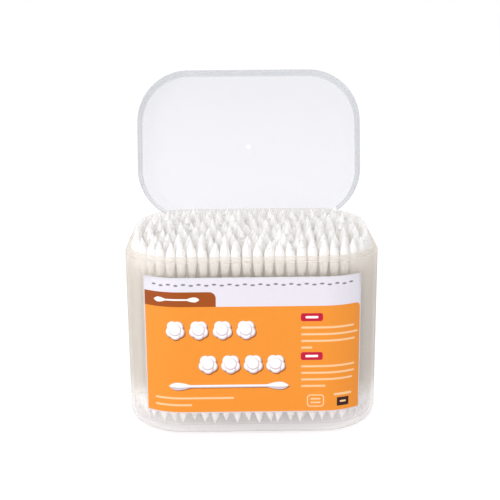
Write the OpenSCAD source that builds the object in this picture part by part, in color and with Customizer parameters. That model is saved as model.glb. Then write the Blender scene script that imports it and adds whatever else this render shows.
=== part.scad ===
// Flip-lid box of cotton swabs: a frosted plastic tub with its lid swung open, a label round the front,
// and the swabs standing upright inside. Lengths are in millimetres.
// Origin: centre of the base, on the ground. +X is the box's right, +Y its back, where the hinge is.

/* [Tub] */
// Width at the seam
body_w = 106; // [100:1:112]
// Depth at the seam
body_d = 71.4; // [68:0.2:78]
// Height of the shoulder that the lid closes on
shoulder_z = 74.7; // [74.2:0.1:78]
// Radius of the upright corners at the seam
corner_r = 24.6; // [20:0.1:28]
// Thickness of the tub's walls and floor
wall = 1.4; // [1.2:0.1:1.6]
// How far a wall leans in for each millimetre below the seam
draft = 0.009; // [0:0.001:0.014]
// Radius of the rounded bottom edge
bottom_r = 6.8; // [5:0.2:8]
// Height of the floor's upper face, raised inside the foot
floor_z = 4.6; // [3.4:0.2:5]
// Depth of the gate mark under the floor
gate_dimple = 0.3; // [0.1:0.1:0.6]

/* [Lip and back guard] */
// Height of the lip that the lid closes round
lip_h = 2; // [1.4:0.1:2.6]
// Thickness of the lip at its root
lip_t = 0.8; // [0.6:0.05:1]
// How far the lip's outer face leans in over its height
lip_lean = 0.2; // [0.18:0.01:0.3]
// Width of the shoulder, from the tub's outside to the lip
shoulder_w = 0.9; // [0.75:0.05:1]
// How far the wall's thicker rim reaches below the shoulder
rim_h = 3; // [2:0.5:5]
// Thickness of the guard that rises inside the back wall
guard_t = 0.6; // [0.5:0.05:0.8]
// Height of the guard above the shoulder, at the back
guard_h = 7.4; // [6.8:0.2:8]
// Distance behind the middle at which the guard starts to rise
guard_start = -4; // [-8:0.5:2]
// Distance behind the box at which the curve of its top would level out
guard_over = 2; // [0:0.5:6]

/* [Lid] */
// Height of the closed lid above the shoulder
lid_h = 13.4; // [13.1:0.1:16]
// Thickness of the lid's skirt
lid_wall = 1.2; // [1:0.05:1.3]
// Thickness of the lid's plate
plate_t = 1.2; // [1:0.05:1.4]
// How far the lid stands in from the tub's outside
lid_in = 0.3; // [0.1:0.05:0.35]
// How far the skirt leans in for each millimetre above the seam
lid_draft = 0.011; // [0:0.001:0.014]
// Radius of the plate's outer edge
lid_edge_r = 2.1; // [1:0.1:3]
// Gap between the closed lid and the tub
seam_gap = 0.15; // [0.1:0.01:0.2]
// Angle of the open lid from closed
open_angle = 103.5; // [95:0.5:108]
// Diameter of the gate marks in the middle of the plate and the floor
gate_d = 2.4; // [1.6:0.1:4]
// Height of the gate mark on the plate
gate_h = 0.25; // [0.1:0.05:0.5]

/* [Hinge] */
// Distance of the pins behind the back wall
pin_back = 6.2; // [5.4:0.1:7]
// Distance of the pins below the shoulder
pin_drop = 6; // [5:0.1:7.5]
// Diameter of a pin
pin_d = 2.6; // [2.3:0.1:3]
// Running clearance round a pin, on the radius
pin_gap = 0.05; // [0.03:0.01:0.08]
// Thickness of a knuckle round its pin
knuckle_t = 1.3; // [1:0.1:1.6]
// Width of a knuckle
knuckle_w = 9; // [6:0.5:11]
// Distance from the middle to each knuckle's centre
knuckle_x = 20; // [14:0.5:21]
// Width of the mouth that snaps over a pin
mouth_w = 2.1; // [1.8:0.1:2.2]
// Turn of the mouth above straight back, when closed
mouth_turn = 10; // [0:5:20]
// Thickness of an arm and of its heel
arm_t = 2.2; // [1.8:0.1:2.4]
// Height above the shoulder at which an arm meets the skirt
arm_up = 4.7; // [4.5:0.1:6]
// Gap between an open lid's heel and the back wall
stop_gap = 0.2; // [0.16:0.02:0.3]
// Thickness of a lug beside a knuckle
lug_t = 2; // [1.6:0.1:2.6]
// Thickness of a lug round its pin
lug_rim = 1.2; // [1:0.1:1.4]
// How far a lug's root reaches below its pin
lug_drop = 8; // [5:0.5:12]
// Gap beside a knuckle
side_gap = 0.3; // [0.2:0.05:0.5]

/* [Label] */
// Thickness of the label
label_t = 0.12; // [0.08:0.01:0.2]
// Height of the label's lower edge
label_z0 = 10.7; // [9:0.1:20]
// Height of the label's upper edge
label_z1 = 68.6; // [50:0.1:70]
// How far the label goes round each front corner, in degrees
label_wrap = 40; // [20:1:60]

/* [Swabs] */
// Length of a swab from tip to tip
swab_l = 77.2; // [74:0.2:77.4]
// Largest diameter of a cotton tip
bud_d = 4.15; // [3.8:0.05:4.4]
// Length of a cotton tip
bud_l = 14.4; // [12:0.1:16]
// Length of a cotton tip's pointed end
point_l = 6; // [5:0.1:7]
// Diameter at the end of the point
point_d = 0.8; // [0.6:0.1:1.2]
// Diameter of a paper stick
stick_d = 2.3; // [2:0.05:2.5]
// Thickness of the cotton at its inner end
tail_t = 0.25; // [0.15:0.05:0.4]
// Gap between a stick and the cotton wound on it, on the radius
wind_gap = 0.04; // [0.03:0.01:0.06]
// Cotton beyond the end of the stick
cover_l = 2.6; // [2.4:0.1:3.5]
// Gap between the swabs along the wall and the back guard
wall_gap = 0.2; // [0.1:0.05:0.3]
// Least gap between neighbours in the row along the wall
wall_row_gap = 0.25; // [0.2:0.05:1.5]
// Least gap between two rows
row_gap = 0.25; // [0.25:0.05:1]
// Least gap between neighbours in an inner row
swab_gap = 0.15; // [0.1:0.05:2]
// Largest shift of an inner swab from its even place
jitter = 0.1; // [0:0.01:0.12]
// Least gap between a swab and the floor
rest_gap = 0.2; // [0.1:0.05:0.3]
// Spread of the swabs' heights in the row along the wall
wall_row_lift = 0.8; // [0:0.1:1.2]
// Spread of the swabs' heights in the inner rows
lift = 1.8; // [0:0.1:1.8]
// Extra height of a swab that stands proud
proud_lift = 2.2; // [0:0.1:2.2]
// Share of the inner swabs that stand proud
proud_share = 0.03; // [0:0.01:0.1]
// Largest lean of an inner row along itself, in degrees
row_lean = 2.4; // [0:0.1:3]

/* [Hidden] */
$fn = 96;
SKIN = 0.01;
SINK = 0.2;
ARC_STEPS = 8;
LUG_STEPS = 10;
GUARD_STEPS = 10;
POINT_STEPS = 4;
TAIL_STEPS = 2;
SWAB_FN = 24;
SEED = 7;

// Centres of the corner arcs
cx = body_w / 2 - corner_r;
cy = body_d / 2 - corner_r;

// The lid's seam and top, closed, and the lip's outer face
seam_z = shoulder_z + seam_gap;
top_z = shoulder_z + lid_h;
lip_r = corner_r - shoulder_w;

// The guard stands inside the lip and inside the closed lid's skirt
guard_in = max(lid_in + lid_wall + lid_draft * lid_h + seam_gap, shoulder_w + lip_t);
guard_r = corner_r - guard_in;
guard_end = body_d / 2 + guard_over;
guard_reach = ease((body_d / 2 - guard_start) / (guard_end - guard_start));

// Hinge axis and the sizes round it
pin_y = body_d / 2 + pin_back;
pin_z = shoulder_z - pin_drop;
knuckle_r = pin_d / 2 + pin_gap + knuckle_t;
heel_l = pin_back + draft * pin_drop - stop_gap;
arm_rise = pin_drop + arm_up;
arm_run = pin_back + lid_in + lid_wall / 2;
lug_x = knuckle_w / 2 + side_gap + lug_t / 2;
lug_r = pin_d / 2 + lug_rim;

// Swab row along the wall: its middle line and its count, which is even
wall_row_in = guard_in + guard_t + wall_gap + bud_d / 2;
wall_row_r = corner_r - wall_row_in;
quarter = PI * wall_row_r / 2;
half_lap = 2 * (cx + cy + quarter);
half_count = floor(half_lap / (bud_d + wall_row_gap));

// Rounded rectangle that holds the middles of the inner rows' swabs
inner_in = wall_row_in + bud_d + row_gap;
inner_w = body_w / 2 - inner_in;
inner_d = body_d / 2 - inner_in;
inner_r = corner_r - inner_in;
row_count = floor(2 * inner_d / (bud_d + row_gap)) + 1;
row_pitch = 2 * inner_d / (row_count - 1);

// Smooth step from 0 to 1
function ease(t) = t * t * (3 - 2 * t);

// Outer radius of a tub corner at height z
function outer_r(z) = corner_r - draft * (shoulder_z - z);

// Points on an arc
function arc(x, y, r, from, to, steps = ARC_STEPS) =
    [for (i = [0:steps]) let (a = from + (to - from) * i / steps) [x + r * cos(a), y + r * sin(a)]];

// Height of the guard's top above the shoulder at depth y
function guard_top(y) =
    lip_h + (guard_h - lip_h) * ease((y - guard_start) / (guard_end - guard_start)) / guard_reach;

// Sweeps a wall profile, drawn outwards from a corner's centre, round the rounded rectangle
module swept() {
    for (i = [0:3]) {
        sx = (i == 0 || i == 3) ? 1 : -1;
        sy = i < 2 ? 1 : -1;
        translate([sx * cx, sy * cy, 0]) rotate(90 * i) rotate_extrude(angle = 90) children();
    }
    for (turn = [0, 180]) {
        rotate(turn) translate([cx, cy, 0]) rotate([90, 0, 0]) linear_extrude(2 * cy) children();
        rotate(turn) translate([-cx, cy, 0]) rotate([90, 0, 90]) linear_extrude(2 * cx) children();
    }
}

// Flat slab between the corner centres, which closes a swept floor or plate
module slab(z, t) {
    translate([-cx, -cy, z]) cube([2 * cx, 2 * cy, t]);
}

// Prism along X from an outline drawn in Y and Z, centred on x = 0
module along_x(w) {
    rotate([90, 0, 90]) linear_extrude(w, center = true) children();
}

// Foot, floor, wall and lip in section
module tub_section() {
    foot_r = outer_r(bottom_r) - bottom_r;
    rim_z = shoulder_z - rim_h;
    polygon(concat(
        [[0, floor_z - wall], [foot_r - wall, floor_z - wall], [foot_r - wall, 0]],
        arc(foot_r, bottom_r, bottom_r, -90, 0),
        [[corner_r, shoulder_z], [lip_r, shoulder_z], [lip_r - lip_lean, shoulder_z + lip_h],
         [lip_r - lip_t, shoulder_z + lip_h], [lip_r - lip_t, shoulder_z], [outer_r(rim_z) - wall, rim_z]],
        arc(foot_r, bottom_r, bottom_r - wall, 0, -asin((bottom_r - floor_z) / (bottom_r - wall))),
        [[0, floor_z]]
    ));
}

// Guard in section: its outer face clears the lid's skirt, and its root is in the wall's rim
module guard_section() {
    root_r = lip_r - lip_t + SINK;
    face_r = guard_r - guard_t;
    polygon([
        [root_r, shoulder_z - rim_h / 2], [face_r, shoulder_z - rim_h / 4], [face_r, shoulder_z + guard_h],
        [guard_r, shoulder_z + guard_h], [guard_r, shoulder_z + lip_h], [root_r, shoulder_z + lip_h - SINK]
    ]);
}

// Everything under the guard's sweeping top edge, seen from the side
module guard_side() {
    run = body_d / 2 - guard_start;
    polygon(concat(
        [[guard_start, shoulder_z - rim_h]],
        [for (i = [0:GUARD_STEPS]) let (y = guard_start + run * i / GUARD_STEPS) [y, shoulder_z + guard_top(y)]],
        [[body_d / 2, shoulder_z - rim_h]]
    ));
}

// Lug: a rounded end round the pin, blended down the wall
module lug_section() {
    root_y = body_d / 2 - wall / 2;
    polygon(concat(
        [[root_y, pin_z - lug_drop], [root_y, pin_z + lug_r]],
        arc(pin_y, pin_z, lug_r, 90, -60, LUG_STEPS)
    ));
}

// Two lugs with a moulded pin between them
module pin_station() {
    for (side = [-1, 1])
        translate([side * lug_x, 0, 0]) along_x(lug_t) lug_section();
    translate([0, pin_y, pin_z]) rotate([0, 90, 0]) cylinder(d = pin_d, h = 2 * lug_x, center = true);
}

module tub() {
    color([0.93, 0.93, 0.92, 0.55]) difference() {
        union() {
            swept() tub_section();
            slab(floor_z - wall, wall);
            intersection() {
                swept() guard_section();
                along_x(body_w) guard_side();
            }
            for (side = [-1, 1]) translate([side * knuckle_x, 0, 0]) pin_station();
        }
        translate([0, 0, floor_z - wall - SKIN]) cylinder(d = gate_d, h = gate_dimple + SKIN);
    }
}

// Skirt and plate in section, closed, with the rebate that fits round the lip
module lid_section() {
    outer = corner_r - lid_in;
    edge_z = top_z - lid_edge_r;
    edge_r = outer - lid_draft * (edge_z - seam_z);
    fillet_r = max(lid_edge_r - lid_wall, SINK);
    rebate_z = shoulder_z + lip_h + seam_gap;
    polygon(concat(
        [[0, top_z - plate_t]],
        arc(edge_r - lid_wall - fillet_r, top_z - plate_t - fillet_r, fillet_r, 90, 0, ARC_STEPS / 2),
        [[outer - lid_wall, rebate_z], [lip_r + seam_gap - lip_lean, rebate_z], [lip_r + seam_gap, seam_z],
         [outer, seam_z]],
        arc(edge_r - lid_edge_r, edge_z, lid_edge_r, 0, 90),
        [[0, top_z]]
    ));
}

// Arm, knuckle and heel of the lid, closed, with the pin at the origin
module knuckle_section() {
    difference() {
        union() {
            circle(r = knuckle_r);
            intersection() {
                rotate(atan2(arm_rise, -arm_run)) translate([0, -arm_t / 2]) square([2 * arm_rise, arm_t]);
                translate([-arm_run, 0]) square([arm_run, 2 * arm_rise]);
            }
            rotate(180 + open_angle) translate([0, -arm_t / 2]) square([heel_l, arm_t]);
        }
        circle(r = pin_d / 2 + pin_gap);
        rotate(mouth_turn) translate([0, -mouth_w / 2]) square([2 * knuckle_r, mouth_w]);
    }
}

module lid_closed() {
    swept() lid_section();
    slab(top_z - plate_t, plate_t);
    translate([0, 0, top_z - SKIN]) cylinder(d = gate_d, h = gate_h + SKIN);
    for (side = [-1, 1])
        translate([side * knuckle_x, pin_y, pin_z]) along_x(knuckle_w) knuckle_section();
}

module lid() {
    color([0.92, 0.93, 0.96, 0.5])
        translate([0, pin_y, pin_z]) rotate([-open_angle, 0, 0]) translate([0, -pin_y, -pin_z]) lid_closed();
}

// Label in section, face to face with the drafted wall
module label_section() {
    polygon([
        [outer_r(label_z0), label_z0], [outer_r(label_z0) + label_t, label_z0],
        [outer_r(label_z1) + label_t, label_z1], [outer_r(label_z1), label_z1]
    ]);
}

// Everything in front of the label's two ends
module label_span() {
    reach = 3 * corner_r;
    end_x = cx + reach * sin(label_wrap);
    end_y = -cy - reach * cos(label_wrap);
    linear_extrude(shoulder_z) polygon([[-cx, -cy], [-end_x, end_y], [end_x, end_y], [cx, -cy]]);
}

module front_label() {
    color([1, 0.65, 0.25]) intersection() {
        swept() label_section();
        label_span();
    }
}

// Place at distance t along one half of the wall row, out from the middle of the front
function wall_place(t, side) = let (back = cx + quarter + 2 * cy)
    t < cx ? [side * t, -cy - wall_row_r]
    : t < cx + quarter ? corner_place(90 * (t - cx) / quarter, side, -1)
    : t < back ? [side * (cx + wall_row_r), t - cx - quarter - cy]
    : t < back + quarter ? corner_place(90 - 90 * (t - back) / quarter, side, 1)
    : [side * (half_lap - t), cy + wall_row_r];

// Place in a corner of the wall row, turned by a degrees from the front or the back
function corner_place(a, side, end) = [side * (cx + wall_row_r * sin(a)), end * (cy + wall_row_r * cos(a))];

// Feet of the swabs along the wall, which stand upright. A foot is a point and a lean
function wall_feet() = [for (side = [-1, 1], i = [0:half_count - 1]) let (
    p = wall_place((i + 0.5) * half_lap / half_count, side),
    raise = rands(0, wall_row_lift, 1, SEED + side * (i + 1))[0]
) [[p[0], p[1], floor_z + rest_gap + raise], 0]];

// Half the width that the inner outline leaves at depth y
function row_half(y) = let (over = max(abs(y) - (inner_d - inner_r), 0))
    inner_w - inner_r + sqrt(max(inner_r * inner_r - over * over, 0));

// Feet of the swabs of inner row n. The row leans as one, and fills the box from its feet to its tips
function row_feet(n) = let (
    y = -inner_d + (n - 1) * row_pitch,
    half = row_half(y),
    lean = row_lean * rands(-1, 1, 1, SEED + 31 * n)[0],
    drift = swab_l * sin(lean),
    from = -half - min(drift, 0),
    to = half - max(drift, 0),
    room = bud_d + swab_gap + 2 * jitter + (lift + proud_lift) * abs(sin(lean)),
    steps = floor((to - from) * cos(lean) / room)
) [for (i = [0:steps]) let (
    turn = rands(0, 360, 1, SEED + 100 * n + i)[0],
    w = rands(0, 1, 3, SEED + 1000 * n + i)
) [[
    from + (to - from) * i / steps + jitter * w[0] * cos(turn),
    y + jitter * w[0] * sin(turn),
    floor_z + rest_gap + lift * w[1] + (w[2] < proud_share ? proud_lift : 0)
], lean]];

// Radius of a cotton tip at height z above its point
function bud_r(z) = z < point_l
    ? (point_d + (bud_d - point_d) * pow(sin(90 * z / point_l), 0.8)) / 2
    : stick_d / 2 + tail_t + (bud_d / 2 - stick_d / 2 - tail_t) * cos(90 * (z - point_l) / (bud_l - point_l));

// One cotton tip, point down, hollow where the stick goes in
module bud() {
    bore_r = stick_d / 2 + wind_gap;
    rotate_extrude($fn = SWAB_FN) polygon(concat(
        [[0, 0]],
        [for (i = [0:POINT_STEPS]) let (z = point_l * pow(i / POINT_STEPS, 1.3)) [bud_r(z), z]],
        [for (i = [1:TAIL_STEPS]) let (z = point_l + (bud_l - point_l) * (i + 0.6) / (TAIL_STEPS + 0.6))
            [bud_r(z), z]],
        [[bore_r, bud_l], [bore_r, cover_l], [0, cover_l]]
    ));
}

module sticks(feet) {
    color([0.98, 0.98, 0.96]) for (foot = feet)
        translate(foot[0]) rotate([0, foot[1], 0]) translate([0, 0, cover_l])
            cylinder(d = stick_d, h = swab_l - 2 * cover_l, $fn = SWAB_FN);
}

module tips(feet) {
    color([1, 1, 1]) for (foot = feet)
        translate(foot[0]) rotate([0, foot[1], 0]) {
            bud();
            translate([0, 0, swab_l]) rotate([180, 0, 0]) bud();
        }
}

tub();
lid();
front_label();
sticks(wall_feet());  // wall_row_sticks
tips(wall_feet());  // wall_row_tips
for (n = [1:row_count]) {
    sticks(row_feet(n));
    tips(row_feet(n));
}
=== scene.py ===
# %% [markdown]
# # A box of cotton swabs
#
# The real object is a frosted polypropylene tub with a hinged lid, a printed film label round its front,
# and some three hundred paper-stick swabs standing upright inside. The moulded pieces come from the CAD
# frame and only need a finish. The cotton and the label are soft or printed, so they are made here.

# %% Load the frame
import math

import bmesh
import bpy
import numpy as np
from mathutils import Matrix, Vector
from mathutils.geometry import delaunay_2d_cdt


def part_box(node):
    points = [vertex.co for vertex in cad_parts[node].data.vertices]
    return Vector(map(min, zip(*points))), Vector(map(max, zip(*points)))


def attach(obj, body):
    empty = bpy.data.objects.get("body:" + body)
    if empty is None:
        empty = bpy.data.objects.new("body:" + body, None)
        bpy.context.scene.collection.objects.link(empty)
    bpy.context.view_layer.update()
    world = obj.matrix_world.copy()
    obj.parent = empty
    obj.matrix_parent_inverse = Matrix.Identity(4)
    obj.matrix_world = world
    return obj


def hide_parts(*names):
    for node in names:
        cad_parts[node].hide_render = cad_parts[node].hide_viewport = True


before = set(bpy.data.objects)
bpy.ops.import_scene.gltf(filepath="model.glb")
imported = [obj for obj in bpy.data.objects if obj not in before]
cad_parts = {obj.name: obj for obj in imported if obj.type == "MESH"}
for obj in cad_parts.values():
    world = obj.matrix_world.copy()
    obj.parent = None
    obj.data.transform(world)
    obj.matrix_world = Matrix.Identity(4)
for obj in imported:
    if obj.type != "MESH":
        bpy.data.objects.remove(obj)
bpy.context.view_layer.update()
MM = 0.001

# %% [markdown]
# Places are worked out from the frame. The tub's box gives the width at the seam, and the label's box
# gives the height of the print. A few sizes of the tub's form are repeated here in millimetres, because
# a box does not tell them.

# %% Sizes taken from the frame
CORNER_R = 24.6
SEAM_Z = 74.7
DRAFT = 0.009
LABEL_T = 0.12
LABEL_WRAP = math.radians(40)
tub_low, tub_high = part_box("tub")
label_low, label_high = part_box("front_label")
half_width = tub_high.x / MM
front_y = tub_low.y / MM
label_z0 = label_low.z / MM
label_z1 = label_high.z / MM
corner_x = half_width - CORNER_R
corner_y = front_y + CORNER_R
print(f"half width {half_width:.1f} mm, front at {front_y:.1f} mm, label {label_z0:.1f} to {label_z1:.1f} mm")

# %% [markdown]
# ## Camera
#
# The photograph is taken from a little above, with a long lens. The camera stands on a sphere round a
# point on the box's axis, so its place is given by a distance and two angles, and its lens by the focal
# length in pixels of a 500 pixel frame. A small roll and shift finish the framing.

# %% Camera
FRAME_PX = 500
FOCAL_PX = 1126.4
CENTRE_ROW = 229.5
SENSOR_MM = 36
DISTANCE = 483.3
ELEVATION = math.radians(13.01)
AZIMUTH = math.radians(-0.70)
ROLL = math.radians(-0.42)
TARGET = Vector((-0.467, 0, 80))

toward = Vector((math.sin(AZIMUTH) * math.cos(ELEVATION), -math.cos(AZIMUTH) * math.cos(ELEVATION),
                 math.sin(ELEVATION)))
camera_data = bpy.data.cameras.new("camera")
camera_data.sensor_width = SENSOR_MM
camera_data.lens = FOCAL_PX / FRAME_PX * SENSOR_MM
camera_data.shift_y = -(FRAME_PX / 2 - CENTRE_ROW) / FRAME_PX
camera_data.clip_start = 0.01
camera = bpy.data.objects.new("camera", camera_data)
bpy.context.scene.collection.objects.link(camera)
camera.matrix_world = (
    Matrix.Translation((TARGET + DISTANCE * toward) * MM)
    @ toward.to_track_quat("Z", "Y").to_matrix().to_4x4()
    @ Matrix.Rotation(ROLL, 4, "Z")
)
bpy.context.scene.camera = camera
print(f"lens {camera_data.lens:.1f} mm, {DISTANCE:.0f} mm away")

# %% [markdown]
# ## Colours and nodes
#
# Colours are picked as sRGB hex values, as any paint program shows them. Shaders work in linear light, so
# one function converts them. A second one adds a shader node, sets it and links it, which keeps each
# material down to a few lines.

# %% Helpers for materials
def linear(hex_code, share=1.0):
    """A linear RGBA colour from an sRGB hex value, with its light scaled by share."""
    channels = [int(hex_code[i:i + 2], 16) / 255 for i in (0, 2, 4)]
    light = [c / 12.92 if c <= 0.04045 else ((c + 0.055) / 1.055) ** 2.4 for c in channels]
    return tuple(c * share for c in light) + (1.0,)


def add(tree, kind, settings=None, **inputs):
    """Adds a node. A value that is a socket becomes a link, and any other sets the input."""
    node = tree.nodes.new(kind)
    for name, value in (settings or {}).items():
        setattr(node, name, value)
    for name, value in inputs.items():
        key = int(name[1:]) if name[0] == "_" else name.replace("_", " ")
        if isinstance(value, bpy.types.NodeSocket):
            tree.links.new(value, node.inputs[key])
        else:
            node.inputs[key].default_value = value
    return node


def new_material(name):
    """An empty material and its tree."""
    material = bpy.data.materials.new(name)
    material.use_nodes = True
    material.node_tree.nodes.clear()
    return material, material.node_tree


def dress(node_name, material):
    """Gives a solid of the frame its finish. Its mesh stays as it is."""
    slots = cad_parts[node_name].data.materials
    slots.clear()
    slots.append(material)


print("mid grey in linear light:", [round(c, 3) for c in linear("808080")])

# %% [markdown]
# ## Light
#
# Product photographs of this kind are lit from all round in a white tent. A white world does most of the
# work. It shines at WORLD_LEVEL, and only rays that show the background see it as pure white: those seen
# directly, through the plastic or in a gloss. Light in a milky box goes from wall to swab many times before
# it comes out, so the number of bounces is raised.

# %% World
WORLD_LEVEL = 0.68


def background_rays(tree):
    """1 for rays that show the background, and 0 for rays that carry light."""
    rays = add(tree, "ShaderNodeLightPath")
    seen = add(tree, "ShaderNodeMath", {"operation": "MAXIMUM"},
               _0=rays.outputs["Is Camera Ray"], _1=rays.outputs["Is Transmission Ray"])
    either = add(tree, "ShaderNodeMath", {"operation": "MAXIMUM"},
                 _0=seen.outputs[0], _1=rays.outputs["Is Glossy Ray"])
    return either.outputs[0]


scene = bpy.context.scene
scene.view_settings.view_transform = "Standard"
scene.cycles.diffuse_bounces = 12
scene.cycles.transparent_max_bounces = 24
world = bpy.data.worlds.new("white tent")
scene.world = world
world.use_nodes = True
world.node_tree.nodes.clear()
level = add(world.node_tree, "ShaderNodeMapRange", Value=background_rays(world.node_tree),
            To_Min=WORLD_LEVEL, To_Max=1.0)
glow = add(world.node_tree, "ShaderNodeBackground", Color=linear("FFFFFF"), Strength=level.outputs[0])
add(world.node_tree, "ShaderNodeOutputWorld", Surface=glow.outputs[0])
print("world level:", WORLD_LEVEL)

# %% [markdown]
# The box stands on seamless white paper. A matte floor under this light is a pale grey, so it gets a
# little glow that only the rays that show the background see. It reads as white and still carries the
# box's soft shadow.

# %% Floor
FLOOR_HALF = 3.0
FLOOR_GLOW = 0.38
floor_corners = [(-FLOOR_HALF, -FLOOR_HALF, 0), (FLOOR_HALF, -FLOOR_HALF, 0),
                 (FLOOR_HALF, FLOOR_HALF, 0), (-FLOOR_HALF, FLOOR_HALF, 0)]
floor_mesh = bpy.data.meshes.new("floor")
floor_mesh.from_pydata(floor_corners, [], [(0, 1, 2, 3)])
floor = bpy.data.objects.new("floor", floor_mesh)
scene.collection.objects.link(floor)
paper_floor, tree = new_material("white seamless paper")
matte = add(tree, "ShaderNodeBsdfDiffuse", Color=linear("F9F7FC"))
lift = add(tree, "ShaderNodeMath", {"operation": "MULTIPLY"}, _0=background_rays(tree), _1=FLOOR_GLOW)
shine = add(tree, "ShaderNodeEmission", Color=linear("FFFFFF"), Strength=lift.outputs[0])
lit_paper = add(tree, "ShaderNodeAddShader", _0=matte.outputs[0], _1=shine.outputs[0])
add(tree, "ShaderNodeOutputMaterial", Surface=lit_paper.outputs[0])
floor_mesh.materials.append(paper_floor)
print(f"floor {2 * FLOOR_HALF:.0f} m wide")

# %% [markdown]
# One large softbox from the upper left gives the forms a lit side, as in the photograph, where the left of
# the tub is a little brighter than the right. A second one above brightens the cotton tips.

# %% Lamps
SOFTBOXES = (
    ("key softbox", (-0.75, -0.95, 0.32), 0.6, 5.0),
    ("top softbox", (0.1, -0.3, 1.1), 0.7, 2.6),
)


def softbox(name, place, size, power):
    """A square area lamp that faces the middle of the box."""
    data = bpy.data.lights.new(name, "AREA")
    data.shape = "SQUARE"
    data.size = size
    data.energy = power
    lamp = bpy.data.objects.new(name, data)
    lamp.location = place
    lamp.rotation_euler = (Vector(place) - TARGET * MM).to_track_quat("Z", "Y").to_euler()
    scene.collection.objects.link(lamp)
    print(f"{name}: {size} m wide, {power} W")


for lamp_settings in SOFTBOXES:
    softbox(*lamp_settings)

# %% [markdown]
# ## Frosted polypropylene
#
# Tub and lid are natural polypropylene, injection moulded against a sand-blasted tool. The plastic is
# milky: part of the light goes straight through, part comes back, and part passes on in all directions,
# so the inside stays bright. Rough glass would be the physical way, but it is noisy and turns dark where
# two walls meet. Here one surface is a mix of three shaders: clear, matte plastic and translucent. What
# stands close behind the wall stays readable. A wall has two surfaces, so each veils half as much as the
# wall does. Seen at a slant, light has a longer way through the plastic, so the veil thickens there as in
# any haze, which gives the rounded edges and the rims their darker outline. In the photograph the tub's foot
# looks clearer than its wall, so its veil is thinner. The gate, where the plastic came into the tool, leaves
# a small clear spot in the middle of the lid. The grit of the blasting is drawn coarser than real, so that
# it shows.

# %% Polypropylene
PP_IOR = 1.49
PP_ROUGHNESS = 0.42
PP_SPECULAR = 0.3
GRAIN_MM = 0.35
GRAIN_DEPTH_MM = 0.05
GRAIN_STRENGTH = 0.04
CLOUD_MM = 9
CLOUD_SHADE = 0.97
MIN_COSINE = 0.08
FOOT_Z = (11, 22)
GATE = (0, 70.5, 104.9)
GATE_R = 1.2


def polypropylene(name, colour, veil, foot_veil, passed):
    """Natural polypropylene. veil is what does not go straight through, passed what of it goes on inward."""
    material, tree = new_material(name)
    place = add(tree, "ShaderNodeTexCoord")
    cloud = add(tree, "ShaderNodeTexNoise", Vector=place.outputs["Object"],
                Scale=1 / (CLOUD_MM * MM), Detail=3.0)
    tint = add(tree, "ShaderNodeMix", {"data_type": "RGBA"}, _0=cloud.outputs["Fac"],
               _6=linear(colour), _7=linear(colour, CLOUD_SHADE))
    grain = add(tree, "ShaderNodeTexNoise", Vector=place.outputs["Object"],
                Scale=1 / (GRAIN_MM * MM), Detail=2.0)
    bump = add(tree, "ShaderNodeBump", Height=grain.outputs["Fac"], Strength=GRAIN_STRENGTH,
               Distance=GRAIN_DEPTH_MM * MM)
    face = add(tree, "ShaderNodeBsdfPrincipled", Base_Color=tint.outputs[2], Roughness=PP_ROUGHNESS,
               IOR=PP_IOR, Specular_IOR_Level=PP_SPECULAR, Normal=bump.outputs[0])
    onward = add(tree, "ShaderNodeBsdfTranslucent", Color=tint.outputs[2])
    milk = add(tree, "ShaderNodeMixShader", _0=passed, _1=face.outputs[0], _2=onward.outputs[0])
    clear = add(tree, "ShaderNodeBsdfTransparent")

    height = add(tree, "ShaderNodeSeparateXYZ", Vector=place.outputs["Object"])
    upright = add(tree, "ShaderNodeMapRange", {"interpolation_type": "SMOOTHSTEP"}, Value=height.outputs["Z"],
                  From_Min=FOOT_Z[0] * MM, From_Max=FOOT_Z[1] * MM, To_Min=1 - foot_veil, To_Max=1 - veil)
    slant = add(tree, "ShaderNodeLayerWeight", Blend=0.5)
    cosine = add(tree, "ShaderNodeMath", {"operation": "SUBTRACT"}, _0=1.0, _1=slant.outputs["Facing"])
    least = add(tree, "ShaderNodeMath", {"operation": "MAXIMUM"}, _0=cosine.outputs[0], _1=MIN_COSINE)
    path = add(tree, "ShaderNodeMath", {"operation": "DIVIDE"}, _0=1.0, _1=least.outputs[0])
    unveiled = add(tree, "ShaderNodeMath", {"operation": "POWER"}, _0=upright.outputs[0], _1=path.outputs[0])

    off_gate = add(tree, "ShaderNodeVectorMath", {"operation": "DISTANCE"}, _0=place.outputs["Object"],
                   _1=[c * MM for c in GATE])
    gate = add(tree, "ShaderNodeMath", {"operation": "LESS_THAN"},
               _0=off_gate.outputs["Value"], _1=GATE_R * MM)
    open_share = add(tree, "ShaderNodeMath", {"operation": "MAXIMUM"},
                     _0=unveiled.outputs[0], _1=gate.outputs[0])
    frosted = add(tree, "ShaderNodeMixShader", _0=open_share.outputs[0],
                  _1=milk.outputs[0], _2=clear.outputs[0])
    add(tree, "ShaderNodeOutputMaterial", Surface=frosted.outputs[0])
    return material


dress("tub", polypropylene("natural polypropylene, tub", "F4F0E9", 0.28, 0.06, 0.66))
# The lid is the same natural polypropylene as the tub but is given a darker, greyer colour: painted shade for
# the strong light that falls on the lid, which also greys its rims.
dress("lid", polypropylene("natural polypropylene, lid, with painted shade", "E2E4E7", 0.27, 0.27, 0.46))
print("dressed in polypropylene: tub and lid")

# %% [markdown]
# ## Paper sticks
#
# A stick is a narrow strip of paper rolled tight, with a faint edge that runs along it. Only a little of
# it shows between the cotton tips and behind the frosted wall, so the CAD cylinders stay and get a matte
# white paper with fine streaks along the stick.

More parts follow.
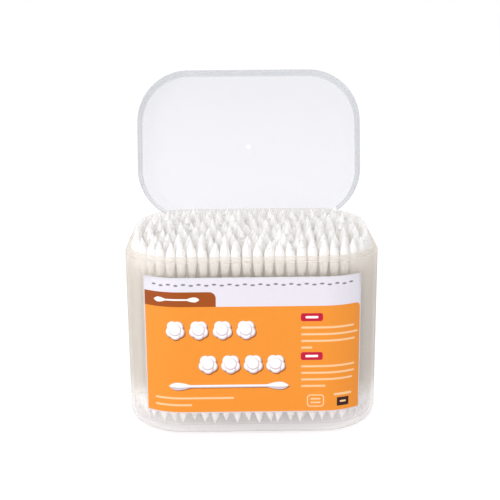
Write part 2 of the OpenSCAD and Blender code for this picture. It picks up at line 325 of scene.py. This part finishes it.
# %% Rolled paper
STREAK_MM = 0.5
STREAK_PULL = 0.04
rolled_paper, tree = new_material("rolled white paper")
place = add(tree, "ShaderNodeTexCoord")
stretch = add(tree, "ShaderNodeMapping", Vector=place.outputs["Object"], Scale=(1, 1, STREAK_PULL))
streak = add(tree, "ShaderNodeTexNoise", Vector=stretch.outputs[0], Scale=1 / (STREAK_MM * MM), Detail=2.0)
tint = add(tree, "ShaderNodeMix", {"data_type": "RGBA"}, _0=streak.outputs["Fac"],
           _6=linear("F6F4F1"), _7=linear("E8E4DF"))
paper = add(tree, "ShaderNodeBsdfPrincipled", Base_Color=tint.outputs[2], Roughness=0.85)
add(tree, "ShaderNodeOutputMaterial", Surface=paper.outputs[0])
stick_nodes = sorted(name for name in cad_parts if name.endswith("_sticks"))
for name in stick_nodes:
    dress(name, rolled_paper)
print("stick nodes:", len(stick_nodes))

# %% [markdown]
# ## Cotton wool
#
# Bleached cotton is white, fully matte and a little see-through, so light sinks in and comes out nearby.
# Subsurface scattering over a millimetre or two gives that softness. Noise that is pulled out a little in
# height stands for the fibres. Which way they run is a guess.

# %% Cotton
FIBRE_MM = 0.35
FIBRE_PULL = 0.45
FIBRE_DEPTH_MM = 0.2
SCATTER_MM = 1.5
cotton, tree = new_material("bleached cotton wool")
place = add(tree, "ShaderNodeTexCoord")
turned = add(tree, "ShaderNodeMapping", Vector=place.outputs["Object"], Scale=(1, 1, FIBRE_PULL))
fibre = add(tree, "ShaderNodeTexNoise", Vector=turned.outputs[0], Scale=1 / (FIBRE_MM * MM), Detail=5.0,
            Roughness=0.65)
tint = add(tree, "ShaderNodeMix", {"data_type": "RGBA"}, _0=fibre.outputs["Fac"],
           _6=linear("FFFEFC"), _7=linear("F8F6F4"))
bump = add(tree, "ShaderNodeBump", Height=fibre.outputs["Fac"], Strength=0.3, Distance=FIBRE_DEPTH_MM * MM)
wool = add(tree, "ShaderNodeBsdfPrincipled", Base_Color=tint.outputs[2], Roughness=0.95,
           Subsurface_Weight=0.6, Subsurface_Radius=(1, 1, 1), Subsurface_Scale=SCATTER_MM * MM,
           Specular_IOR_Level=0.1, Normal=bump.outputs[0])
add(tree, "ShaderNodeOutputMaterial", Surface=wool.outputs[0])
print("fibre size:", FIBRE_MM, "mm")

# %% [markdown]
# ## Cotton tips
#
# Each tip is a twist of cotton wound on the stick: a soft point, a full belly and a tail that tapers to
# the paper. No two are alike. The frame says where each one is, so its solids are split into islands and
# a new bud is spun at each, with its own girth, a slightly bent point and an uneven skin. Spinning a
# profile is the direct way, and small waves along and round it give the lumps that a lathe would not.

# %% Find the tips of the frame
WELD_MM = 0.001
END_SHARE = 0.2


def islands(mesh):
    """The corner points of each loose solid of a mesh, in millimetres."""
    work = bmesh.new()
    work.from_mesh(mesh)
    bmesh.ops.remove_doubles(work, verts=work.verts, dist=WELD_MM * MM)
    fresh = set(work.verts)
    found = []
    while fresh:
        stack = [fresh.pop()]
        points = []
        while stack:
            vert = stack.pop()
            points.append(vert.co / MM)
            for edge in vert.link_edges:
                other = edge.other_vert(vert)
                if other in fresh:
                    fresh.remove(other)
                    stack.append(other)
        found.append(np.array(points))
    work.free()
    return sorted(found, key=lambda points: tuple(points.min(0).round(3)))


def axis_of(points, upper):
    """The tip, the tail and the greatest radius of a solid that stands nearly upright."""
    z = points[:, 2]
    share = END_SHARE * (z.max() - z.min())
    ends = points[z < z.min() + share].mean(0), points[z > z.max() - share].mean(0)
    tip, tail = (ends[1], ends[0]) if upper else ends
    along = (tail - tip) / np.linalg.norm(tail - tip)
    reach = (points - tip) @ along
    radius = np.linalg.norm(points - tip - reach[:, None] * along, axis=1).max()
    return tip + reach.min() * along, tip + reach.max() * along, radius


# %% Spin the buds
BUD_SIDES = 20
BUD_RINGS = 18
RING_CROWDING = 1.25
POINT_SHARE = 0.42
POINT_POWER = 1.15
TAIL_POWER = 0.9
TAIL_R = 1.32
TIP_R = 0.22
POINT_WANDER = 1.1
GIRTH_RANGE = (0.95, 1.01)


def bud_radius(t, belly):
    """Radius at share t of the length, from the tip to the tail."""
    point = np.sin(np.pi / 2 * np.clip(t / POINT_SHARE, 0, 1)) ** POINT_POWER
    tail = np.cos(np.pi / 2 * np.clip((t - POINT_SHARE) / (1 - POINT_SHARE), 0, 1)) ** TAIL_POWER
    return np.where(t < POINT_SHARE, TIP_R + (belly - TIP_R) * point, TAIL_R + (belly - TAIL_R) * tail)


def spin_bud(tip, tail, belly, rng):
    """Points and faces of one cotton tip that fills the space of its solid."""
    t = np.linspace(0, 1, BUD_RINGS)[:, None] ** RING_CROWDING
    turn = np.linspace(0, 2 * np.pi, BUD_SIDES, endpoint=False)
    phase = rng.uniform(0, 2 * np.pi, 4)
    lumps = (1 + 0.025 * np.sin(2 * turn + phase[0] + 5 * t) + 0.018 * np.sin(3 * turn + phase[1] - 7 * t)
             + 0.02 * np.sin(11 * t + phase[2]))
    radius = bud_radius(t, belly * rng.uniform(*GIRTH_RANGE)) * lumps
    bend = POINT_WANDER * rng.uniform(0.1, 1) * (1 - t) ** 3
    side_x = radius * np.cos(turn) + bend * np.cos(phase[3])
    side_y = radius * np.sin(turn) + bend * np.sin(phase[3])
    along = (tail - tip) / np.linalg.norm(tail - tip)
    across = np.cross(along, (0, 1, 0))
    across /= np.linalg.norm(across)
    over = np.cross(along, across)
    points = tip + t[..., None] * (tail - tip) + side_x[..., None] * across + side_y[..., None] * over
    faces = [tuple(range(BUD_SIDES))[::-1], tuple(range((BUD_RINGS - 1) * BUD_SIDES, BUD_RINGS * BUD_SIDES))]
    for ring in range(BUD_RINGS - 1):
        for side in range(BUD_SIDES):
            a = ring * BUD_SIDES + side
            b = ring * BUD_SIDES + (side + 1) % BUD_SIDES
            faces.append((a, b, b + BUD_SIDES, a + BUD_SIDES))
    return points.reshape(-1, 3), faces


# %% Make the cotton of each row
def cotton_row(node_name, seed):
    """All the cotton tips of one row as one piece, which stands for the row's solids."""
    rng = np.random.default_rng(seed)
    points, faces = [], []
    solids = islands(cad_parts[node_name].data)
    middle = np.mean([solid[:, 2].mean() for solid in solids])
    for solid in solids:
        bud_points, bud_faces = spin_bud(*axis_of(solid, solid[:, 2].mean() > middle), rng)
        start = BUD_SIDES * BUD_RINGS * len(points)
        points.append(bud_points)
        faces += [tuple(start + i for i in face) for face in bud_faces]
    mesh = bpy.data.meshes.new(node_name.replace("tips", "cotton"))
    mesh.from_pydata(np.concatenate(points) * MM, [], faces)
    mesh.shade_smooth()
    mesh.materials.append(cotton)
    piece = bpy.data.objects.new(mesh.name, mesh)
    scene.collection.objects.link(piece)
    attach(piece, "box")
    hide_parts(node_name)
    return len(solids)


tip_nodes = sorted(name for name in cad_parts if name.endswith("_tips"))
tip_count = sum(cotton_row(name, seed) for seed, name in enumerate(tip_nodes))
print("cotton tips:", tip_count)

# %% [markdown]
# ## Inks
#
# The label is white polypropylene film, printed in flat inks and varnished. The varnish gives the eye a
# soft gloss over every colour, and the film's slight waves break the gloss up. Each ink lies a little
# uneven, so its colour is mottled by a few per cent over a couple of millimetres.

# %% Inks
INK_ROUGHNESS = 0.38
INK_SPECULAR = 0.22
MOTTLE_MM = 2.5
MOTTLE_SHADE = 0.96
WAVE_MM = 14
WAVE_DEPTH_MM = 0.3


def ink(name, colour):
    """Printing ink under a thin gloss varnish."""
    material, tree = new_material(name)
    place = add(tree, "ShaderNodeTexCoord")
    mottle = add(tree, "ShaderNodeTexNoise", Vector=place.outputs["Object"],
                 Scale=1 / (MOTTLE_MM * MM), Detail=3.0)
    tint = add(tree, "ShaderNodeMix", {"data_type": "RGBA"}, _0=mottle.outputs["Fac"],
               _6=linear(colour), _7=linear(colour, MOTTLE_SHADE))
    wave = add(tree, "ShaderNodeTexNoise", Vector=place.outputs["Object"],
               Scale=1 / (WAVE_MM * MM), Detail=1.0)
    bump = add(tree, "ShaderNodeBump", Height=wave.outputs["Fac"], Strength=0.15, Distance=WAVE_DEPTH_MM * MM)
    varnished = add(tree, "ShaderNodeBsdfPrincipled", Base_Color=tint.outputs[2], Roughness=INK_ROUGHNESS,
                    Specular_IOR_Level=INK_SPECULAR, Normal=bump.outputs[0])
    add(tree, "ShaderNodeOutputMaterial", Surface=varnished.outputs[0])
    return material


INKS = {
    "film": ink("white label film", "EAE7EF"),
    "orange": ink("orange ink", "F59833"),
    "brown": ink("brown ink", "A24E10"),
    "shade": ink("deep orange ink", "A85A1C"),
    "white": ink("white ink", "FFFDFB"),
    "puff": ink("pale lilac ink", "D3C6CF"),
    "grey": ink("grey ink", "8C8890"),
    "pale": ink("pale orange ink", "FFD2A0"),
    "crimson": ink("crimson ink", "C80F3A"),
    "dark": ink("dark brown ink", "35120A"),
    "back": ink("white label backing", "F6F5F6"),
}
ink_names = list(INKS)
print("inks:", len(INKS))

# %% [markdown]
# ## Label
#
# The film is glued round the front. Its print is flat fields of colour, so it is drawn as outlines in
# millimetres along the wall (u) and up it (z). A triangulation that keeps every outline cuts the film
# along them, each triangle takes the ink of the topmost outline that holds it, and only then is the flat
# sheet bent round the drafted wall. The edges of the print stay sharp at any distance, with no image. The
# print is all plain shapes: fields, cotton puffs, swabs, beads, tags and bars.

# %% Outlines
def rounded(u0, z0, u1, z1, radius=0.0, corners=(1, 1, 1, 1), steps=6):
    """A rectangle with rounded corners, from the lower left, anticlockwise."""
    points = []
    for i, (u, z, su, sz) in enumerate([(u0, z0, 1, 1), (u1, z0, -1, 1), (u1, z1, -1, -1), (u0, z1, 1, -1)]):
        if not radius or not corners[i]:
            points.append((u, z))
            continue
        for k in range(steps + 1):
            a = math.pi + i * math.pi / 2 + k / steps * math.pi / 2
            points.append((u + su * radius + radius * math.cos(a), z + sz * radius + radius * math.sin(a)))
    return points


def oval(u, z, half_u, half_z, steps=20):
    """An ellipse."""
    turns = [2 * math.pi * k / steps for k in range(steps)]
    return [(u + half_u * math.cos(a), z + half_z * math.sin(a)) for a in turns]


# %% Fields of the film
BORDER = 0.4
BAND_Z = 56.4
TAB_TOP = 62.6
TAB_END = -14.9
ONLY_UPPER_RIGHT = (0, 0, 1, 0)
half_span = corner_x + LABEL_WRAP * CORNER_R
left_edge = -half_span + BORDER
right_edge = half_span - BORDER
shapes = [
    ("film", rounded(-half_span, label_z0, half_span, label_z1)),
    ("orange", rounded(left_edge, label_z0 + BORDER, right_edge, BAND_Z, 2.2, ONLY_UPPER_RIGHT)),
    ("brown", rounded(left_edge, BAND_Z, TAB_END, TAB_TOP, 2.6, ONLY_UPPER_RIGHT)),
]
print(f"film {2 * half_span:.1f} mm along the wall")

# %% Cotton puffs
PUFF = 4.3
PUFF_ROWS = ((-31.6, 9.6, 46.6), (-18.4, 9.2, 31.9))
PUFFS_PER_ROW = 4
LOBE_TURNS = (2.2, 0.9, 3.6, -0.5, 4.7)
LOBE_PLACE = 0.42
LOBE_R = 0.54
MIDDLE_R = 0.6


def puff(u, z, size):
    """A cotton puff: lobes round a middle, each shaded on its lower side, over a drop shadow."""
    lobes = [(LOBE_PLACE * math.cos(turn), LOBE_PLACE * math.sin(turn), LOBE_R) for turn in LOBE_TURNS]
    lobes.append((0, 0, MIDDLE_R))
    for a, b, r in lobes:
        shapes.append(("shade", oval(u + (a + 0.1) * size, z + (b - 0.12) * size, r * size, r * size)))
    for a, b, r in lobes:
        inner = (r - 0.07) * size
        shapes.append(("puff", oval(u + a * size, z + b * size, r * size, r * size)))
        shapes.append(("white", oval(u + (a - 0.04) * size, z + (b + 0.05) * size, inner, inner)))


for i in range(PUFFS_PER_ROW):
    for first_u, pitch, row_z in PUFF_ROWS:
        puff(first_u + pitch * i, row_z, PUFF)
print("puffs:", PUFFS_PER_ROW * len(PUFF_ROWS))


# %% Swabs drawn on the label
def drawn_swab(u0, u1, z, belly, stick, bud, upper=1.0, lower=1.0):
    """A swab that lies along the label: two pointed buds on a stick, with its halves scaled by themselves."""
    def half(s):
        t = min(s, u1 - u0 - s) / bud
        if t < 0.4:
            return belly * math.sin(math.pi / 2 * t / 0.4) ** 0.8
        return stick + (belly - stick) * max(math.cos(math.pi / 2 * min((t - 0.4) / 0.6, 1)), 0)

    near = [bud * k / 10 for k in range(11)]
    along = near + [u1 - u0 - s for s in reversed(near)]
    return ([(u0 + s, z - lower * half(s)) for s in along]
            + [(u0 + s, z + upper * half(s)) for s in reversed(along[1:-1])])


SWAB_Z = 22.4
BEADS = 27
BEAD_PITCH = 3.1
shapes += [
    ("shade", drawn_swab(-34.4, 15.1, SWAB_Z - 0.35, 1.65, 0.6, 9.0)),
    ("puff", drawn_swab(-34.9, 14.7, SWAB_Z, 1.7, 0.62, 9.0)),
    ("white", drawn_swab(-34.7, 14.5, SWAB_Z, 1.6, 0.55, 9.0, 1.0, 0.3)),
]
for i in range(BEADS):
    shapes.append(("grey", oval(-40.3 + BEAD_PITCH * i, 65.3 if i % 2 else 65.7, 0.95, 0.42, 12)))
shapes.append(("white", drawn_swab(-40.5, -21.5, 59.4, 1.05, 0.35, 5.0)))

# %% Tags, bars, badge and dark field
BAR_H = 0.85


def bar(u, z, length, height=BAR_H, radius=0.3, colour="pale"):
    """A bar from u along the label, with its middle at height z."""
    shapes.append((colour, rounded(u, z - height / 2, u + length, z + height / 2, radius)))


for tag_z, lengths in ((51.6, (22.5, 24.5, 23.0, 4.5)), (35.0, (23.0, 23.0, 22.0, 10.0))):
    bar(19.4, tag_z, 9.0, 3.4, 0.9, "crimson")
    bar(21.3, tag_z, 5.2, 1.0, 0.4, "white")
    for i, length in enumerate(lengths):
        bar(19.6, tag_z - 4.4 - 2.85 * i, length)
bar(-41.0, 17.2, 33.0)
bar(-41.0, 14.2, 15.7)
shapes.append(("pale", rounded(22.0, 12.9, 29.1, 18.3, 1.4)))
shapes.append(("orange", rounded(22.5, 13.4, 28.6, 17.8, 1.0)))
for bar_z in (14.8, 16.4):
    bar(23.5, bar_z, 4.1, 0.7, 0.25)
bar(33.2, 18.1, 8.1, 1.0)
shapes.append(("dark", rounded(34.6, 12.9, 40.0, 16.6)))
bar(35.9, 14.8, 2.8, 0.8)
print("print outlines:", len(shapes))

# %% [markdown]
# Upright cuts at even steps are added before the triangulation, because the sheet has to bend there. The
# bent points know the wall's true direction, so it is stored as their normals and the film shades as one
# smooth surface.

# %% Cut the film along the print
BEND_STEP = math.radians(3)
WELD_FLAT = 1e-5
KEEP_OUTLINES = 1
flat_points, flat_edges, flat_faces = [], [], []
for _, outline in shapes:
    start = len(flat_points)
    flat_points += [Vector(p) for p in outline]
    flat_faces.append(list(range(start, start + len(outline))))
steps = round(LABEL_WRAP / BEND_STEP)
for side in (-1, 1):
    for k in range(steps):
        u = side * (corner_x + k * BEND_STEP * CORNER_R)
        flat_edges.append((len(flat_points), len(flat_points) + 1))
        flat_points += [Vector((u, label_z0)), Vector((u, label_z1))]
cut_points, _, cut_faces, _, _, held_by = delaunay_2d_cdt(
    flat_points, flat_edges, flat_faces, KEEP_OUTLINES, WELD_FLAT)
print("label triangles:", len(cut_faces))

# %% [markdown]
# The film is given its thickness inward. Its printed side shows the inks, and its inner side and edges
# take the white backing, so the orange does not colour the light inside the tub.

# %% Bend the film round the wall
GLUE_T = 0.03


def on_wall(u, z, out):
    """The point of the drafted wall at u and z, out millimetres off it, and the wall's direction there."""
    angle = max(abs(u) - corner_x, 0) / CORNER_R * (1 if u > 0 else -1)
    radius = CORNER_R - DRAFT * (SEAM_Z - z) + out
    flat_x = max(-corner_x, min(corner_x, u))
    place = Vector((flat_x + radius * math.sin(angle), corner_y - radius * math.cos(angle), z))
    return place * MM, Vector((math.sin(angle), -math.cos(angle), -DRAFT)).normalized()


bent = [on_wall(p.x, p.y, LABEL_T) for p in cut_points]
label_mesh = bpy.data.meshes.new("printed_label")
label_mesh.from_pydata([place for place, _ in bent], [], cut_faces)
for material in INKS.values():
    label_mesh.materials.append(material)
for polygon, holders in zip(label_mesh.polygons, held_by):
    polygon.material_index = ink_names.index(shapes[max(holders)][0]) if holders else 0
label_mesh.shade_smooth()
label_mesh.normals_split_custom_set_from_vertices([normal for _, normal in bent])
printed_label = bpy.data.objects.new("printed_label", label_mesh)
scene.collection.objects.link(printed_label)
thick = printed_label.modifiers.new("film thickness", "SOLIDIFY")
thick.thickness = (LABEL_T - GLUE_T) * MM
thick.offset = -1
thick.material_offset = len(INKS)
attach(printed_label, "box")
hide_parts("front_label")
print(f"label {thick.thickness / MM:.2f} mm thick")
